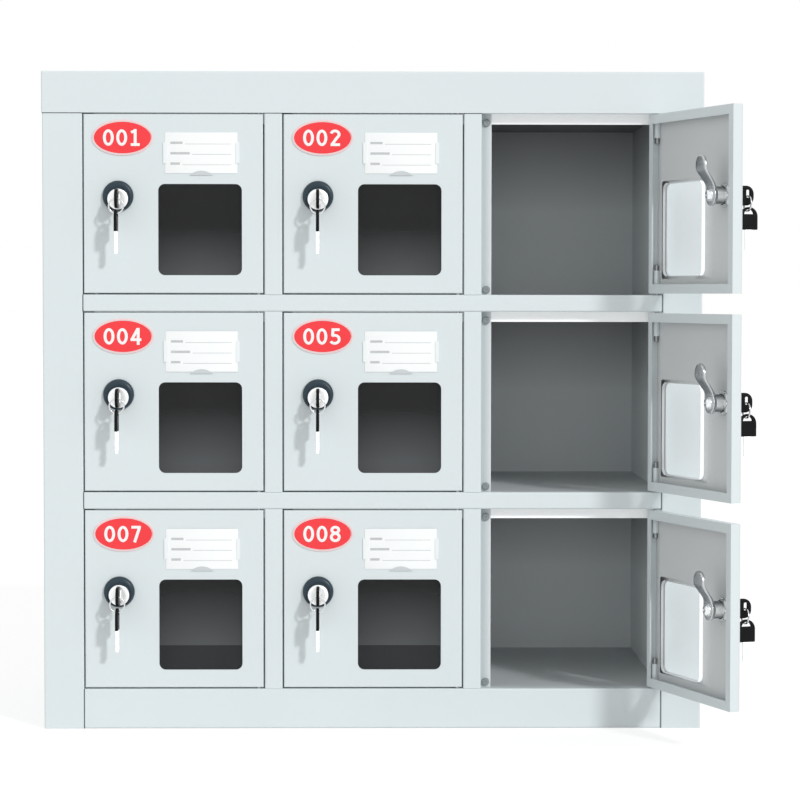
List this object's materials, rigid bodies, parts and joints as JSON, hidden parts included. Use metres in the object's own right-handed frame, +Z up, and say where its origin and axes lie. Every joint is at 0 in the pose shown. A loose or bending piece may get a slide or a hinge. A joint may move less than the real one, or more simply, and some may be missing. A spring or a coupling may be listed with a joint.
{
  "type": "phone locker cabinet",
  "caption": "Steel desktop locker in a grid of small window doors, each on pin hinges with a cam lock, a key and a spare key; the right column stands open.",
  "frame": {"origin": "centre of the cabinet's footprint, on the surface it stands on", "axes": "+Z up, doors facing -Y, +X to the right as seen from the front"},
  "size_m": [0.5294, 0.357, 0.4988],
  "materials": {
    "painted_steel": "satin powder coat in a cool pale grey",
    "bumper_rubber": "matte grey rubber",
    "pin_steel": "bright drawn wire",
    "clear_pane": "clear acrylic sheet",
    "slate_zinc": "semi-gloss slate lacquer on cast zinc",
    "plated_steel": "bright nickel plate",
    "black_key_plastic": "smooth black moulded plastic"
  },
  "bodies": {
    "cabinet": {"top_cap": "painted_steel", "ceiling_panel": "painted_steel", "left_side": "painted_steel", "right_side": "painted_steel", "back_panel": "painted_steel", "base_plinth": "painted_steel", "shelf_upper": "painted_steel", "shelf_lower": "painted_steel", "divider_left": "painted_steel", "divider_right": "painted_steel", "lock_side_stops": "painted_steel", "top_stops": "painted_steel", "door_bumpers": "bumper_rubber", "hinge_pins": "pin_steel"},
    "leaf_1": {"door_1": "painted_steel", "window_1": "clear_pane", "lock_body_1": "slate_zinc"},
    "lock_1": {"lock_cam_1": "plated_steel"},
    "spare_1": {"spare_key_1": "black_key_plastic"},
    "leaf_2": {"door_2": "painted_steel", "window_2": "clear_pane", "lock_body_2": "slate_zinc"},
    "lock_2": {"lock_cam_2": "plated_steel"},
    "spare_2": {"spare_key_2": "black_key_plastic"},
    "leaf_3": {"door_3": "painted_steel", "window_3": "clear_pane", "lock_body_3": "slate_zinc"},
    "lock_3": {"lock_cam_3": "plated_steel"},
    "spare_3": {"spare_key_3": "black_key_plastic"},
    "leaf_4": {"door_4": "painted_steel", "window_4": "clear_pane", "lock_body_4": "slate_zinc"},
    "lock_4": {"lock_cam_4": "plated_steel"},
    "spare_4": {"spare_key_4": "black_key_plastic"},
    "leaf_5": {"door_5": "painted_steel", "window_5": "clear_pane", "lock_body_5": "slate_zinc"},
    "lock_5": {"lock_cam_5": "plated_steel"},
    "spare_5": {"spare_key_5": "black_key_plastic"},
    "leaf_6": {"door_6": "painted_steel", "window_6": "clear_pane", "lock_body_6": "slate_zinc"},
    "lock_6": {"lock_cam_6": "plated_steel"},
    "spare_6": {"spare_key_6": "black_key_plastic"},
    "leaf_7": {"door_7": "painted_steel", "window_7": "clear_pane", "lock_body_7": "slate_zinc"},
    "lock_7": {"lock_cam_7": "plated_steel"},
    "spare_7": {"spare_key_7": "black_key_plastic"},
    "leaf_8": {"door_8": "painted_steel", "window_8": "clear_pane", "lock_body_8": "slate_zinc"},
    "lock_8": {"lock_cam_8": "plated_steel"},
    "spare_8": {"spare_key_8": "black_key_plastic"},
    "leaf_9": {"door_9": "painted_steel", "window_9": "clear_pane", "lock_body_9": "slate_zinc"},
    "lock_9": {"lock_cam_9": "plated_steel"},
    "spare_9": {"spare_key_9": "black_key_plastic"}
  },
  "joints": [
    {"name": "door_1_swing", "type": "hinge", "parent": "cabinet", "child": "leaf_1", "pos_m": [-0.08665, -0.1141, 0.3989], "axis": [0, 0, 1], "range_deg": [0, 111]},
    {"name": "lock_1_turn", "type": "hinge", "parent": "leaf_1", "child": "lock_1", "pos_m": [-0.19269, -0.117, 0.4022], "axis": [0, -1, 0], "range_deg": [0, 90]},
    {"name": "spare_1_hang", "type": "hinge", "parent": "lock_1", "child": "spare_1", "pos_m": [-0.19269, -0.117, 0.3979], "axis": [0, -1, 0], "range_deg": [-90, 0]},
    {"name": "door_2_swing", "type": "hinge", "parent": "cabinet", "child": "leaf_2", "pos_m": [0.06435, -0.1141, 0.3989], "axis": [0, 0, 1], "range_deg": [0, 111]},
    {"name": "lock_2_turn", "type": "hinge", "parent": "leaf_2", "child": "lock_2", "pos_m": [-0.04169, -0.117, 0.4022], "axis": [0, -1, 0], "range_deg": [0, 90]},
    {"name": "spare_2_hang", "type": "hinge", "parent": "lock_2", "child": "spare_2", "pos_m": [-0.04169, -0.117, 0.3979], "axis": [0, -1, 0], "range_deg": [-90, 0]},
    {"name": "door_3_swing", "type": "hinge", "parent": "cabinet", "child": "leaf_3", "pos_m": [0.21535, -0.1141, 0.3989], "axis": [0, 0, 1], "range_deg": [-110, 1]},
    {"name": "lock_3_turn", "type": "hinge", "parent": "leaf_3", "child": "lock_3", "pos_m": [0.25434, -0.21275, 0.4022], "axis": [0.9397, 0.342, 0], "range_deg": [0, 90]},
    {"name": "spare_3_hang", "type": "hinge", "parent": "lock_3", "child": "spare_3", "pos_m": [0.25434, -0.21275, 0.3979], "axis": [0.9397, 0.342, 0], "range_deg": [-90, 0]},
    {"name": "door_4_swing", "type": "hinge", "parent": "cabinet", "child": "leaf_4", "pos_m": [-0.08665, -0.1141, 0.2489], "axis": [0, 0, 1], "range_deg": [0, 111]},
    {"name": "lock_4_turn", "type": "hinge", "parent": "leaf_4", "child": "lock_4", "pos_m": [-0.19269, -0.117, 0.2522], "axis": [0, -1, 0], "range_deg": [0, 90]},
    {"name": "spare_4_hang", "type": "hinge", "parent": "lock_4", "child": "spare_4", "pos_m": [-0.19269, -0.117, 0.2479], "axis": [0, -1, 0], "range_deg": [-90, 0]},
    {"name": "door_5_swing", "type": "hinge", "parent": "cabinet", "child": "leaf_5", "pos_m": [0.06435, -0.1141, 0.2489], "axis": [0, 0, 1], "range_deg": [0, 111]},
    {"name": "lock_5_turn", "type": "hinge", "parent": "leaf_5", "child": "lock_5", "pos_m": [-0.04169, -0.117, 0.2522], "axis": [0, -1, 0], "range_deg": [0, 90]},
    {"name": "spare_5_hang", "type": "hinge", "parent": "lock_5", "child": "spare_5", "pos_m": [-0.04169, -0.117, 0.2479], "axis": [0, -1, 0], "range_deg": [-90, 0]},
    {"name": "door_6_swing", "type": "hinge", "parent": "cabinet", "child": "leaf_6", "pos_m": [0.21535, -0.1141, 0.2489], "axis": [0, 0, 1], "range_deg": [-110, 1]},
    {"name": "lock_6_turn", "type": "hinge", "parent": "leaf_6", "child": "lock_6", "pos_m": [0.25434, -0.21275, 0.2522], "axis": [0.9397, 0.342, 0], "range_deg": [0, 90]},
    {"name": "spare_6_hang", "type": "hinge", "parent": "lock_6", "child": "spare_6", "pos_m": [0.25434, -0.21275, 0.2479], "axis": [0.9397, 0.342, 0], "range_deg": [-90, 0]},
    {"name": "door_7_swing", "type": "hinge", "parent": "cabinet", "child": "leaf_7", "pos_m": [-0.08665, -0.1141, 0.0989], "axis": [0, 0, 1], "range_deg": [0, 111]},
    {"name": "lock_7_turn", "type": "hinge", "parent": "leaf_7", "child": "lock_7", "pos_m": [-0.19269, -0.117, 0.1022], "axis": [0, -1, 0], "range_deg": [0, 90]},
    {"name": "spare_7_hang", "type": "hinge", "parent": "lock_7", "child": "spare_7", "pos_m": [-0.19269, -0.117, 0.0979], "axis": [0, -1, 0], "range_deg": [-90, 0]},
    {"name": "door_8_swing", "type": "hinge", "parent": "cabinet", "child": "leaf_8", "pos_m": [0.06435, -0.1141, 0.0989], "axis": [0, 0, 1], "range_deg": [0, 111]},
    {"name": "lock_8_turn", "type": "hinge", "parent": "leaf_8", "child": "lock_8", "pos_m": [-0.04169, -0.117, 0.1022], "axis": [0, -1, 0], "range_deg": [0, 90]},
    {"name": "spare_8_hang", "type": "hinge", "parent": "lock_8", "child": "spare_8", "pos_m": [-0.04169, -0.117, 0.0979], "axis": [0, -1, 0], "range_deg": [-90, 0]},
    {"name": "door_9_swing", "type": "hinge", "parent": "cabinet", "child": "leaf_9", "pos_m": [0.21535, -0.1141, 0.0989], "axis": [0, 0, 1], "range_deg": [-110, 1]},
    {"name": "lock_9_turn", "type": "hinge", "parent": "leaf_9", "child": "lock_9", "pos_m": [0.25434, -0.21275, 0.1022], "axis": [0.9397, 0.342, 0], "range_deg": [0, 90]},
    {"name": "spare_9_hang", "type": "hinge", "parent": "lock_9", "child": "spare_9", "pos_m": [0.25434, -0.21275, 0.0979], "axis": [0.9397, 0.342, 0], "range_deg": [-90, 0]}
  ],
  "couplings": [
    {"joint": "spare_1_hang", "follows": "lock_1_turn", "ratio": -1},
    {"joint": "spare_2_hang", "follows": "lock_2_turn", "ratio": -1},
    {"joint": "spare_3_hang", "follows": "lock_3_turn", "ratio": -1},
    {"joint": "spare_4_hang", "follows": "lock_4_turn", "ratio": -1},
    {"joint": "spare_5_hang", "follows": "lock_5_turn", "ratio": -1},
    {"joint": "spare_6_hang", "follows": "lock_6_turn", "ratio": -1},
    {"joint": "spare_7_hang", "follows": "lock_7_turn", "ratio": -1},
    {"joint": "spare_8_hang", "follows": "lock_8_turn", "ratio": -1},
    {"joint": "spare_9_hang", "follows": "lock_9_turn", "ratio": -1}
  ]
}
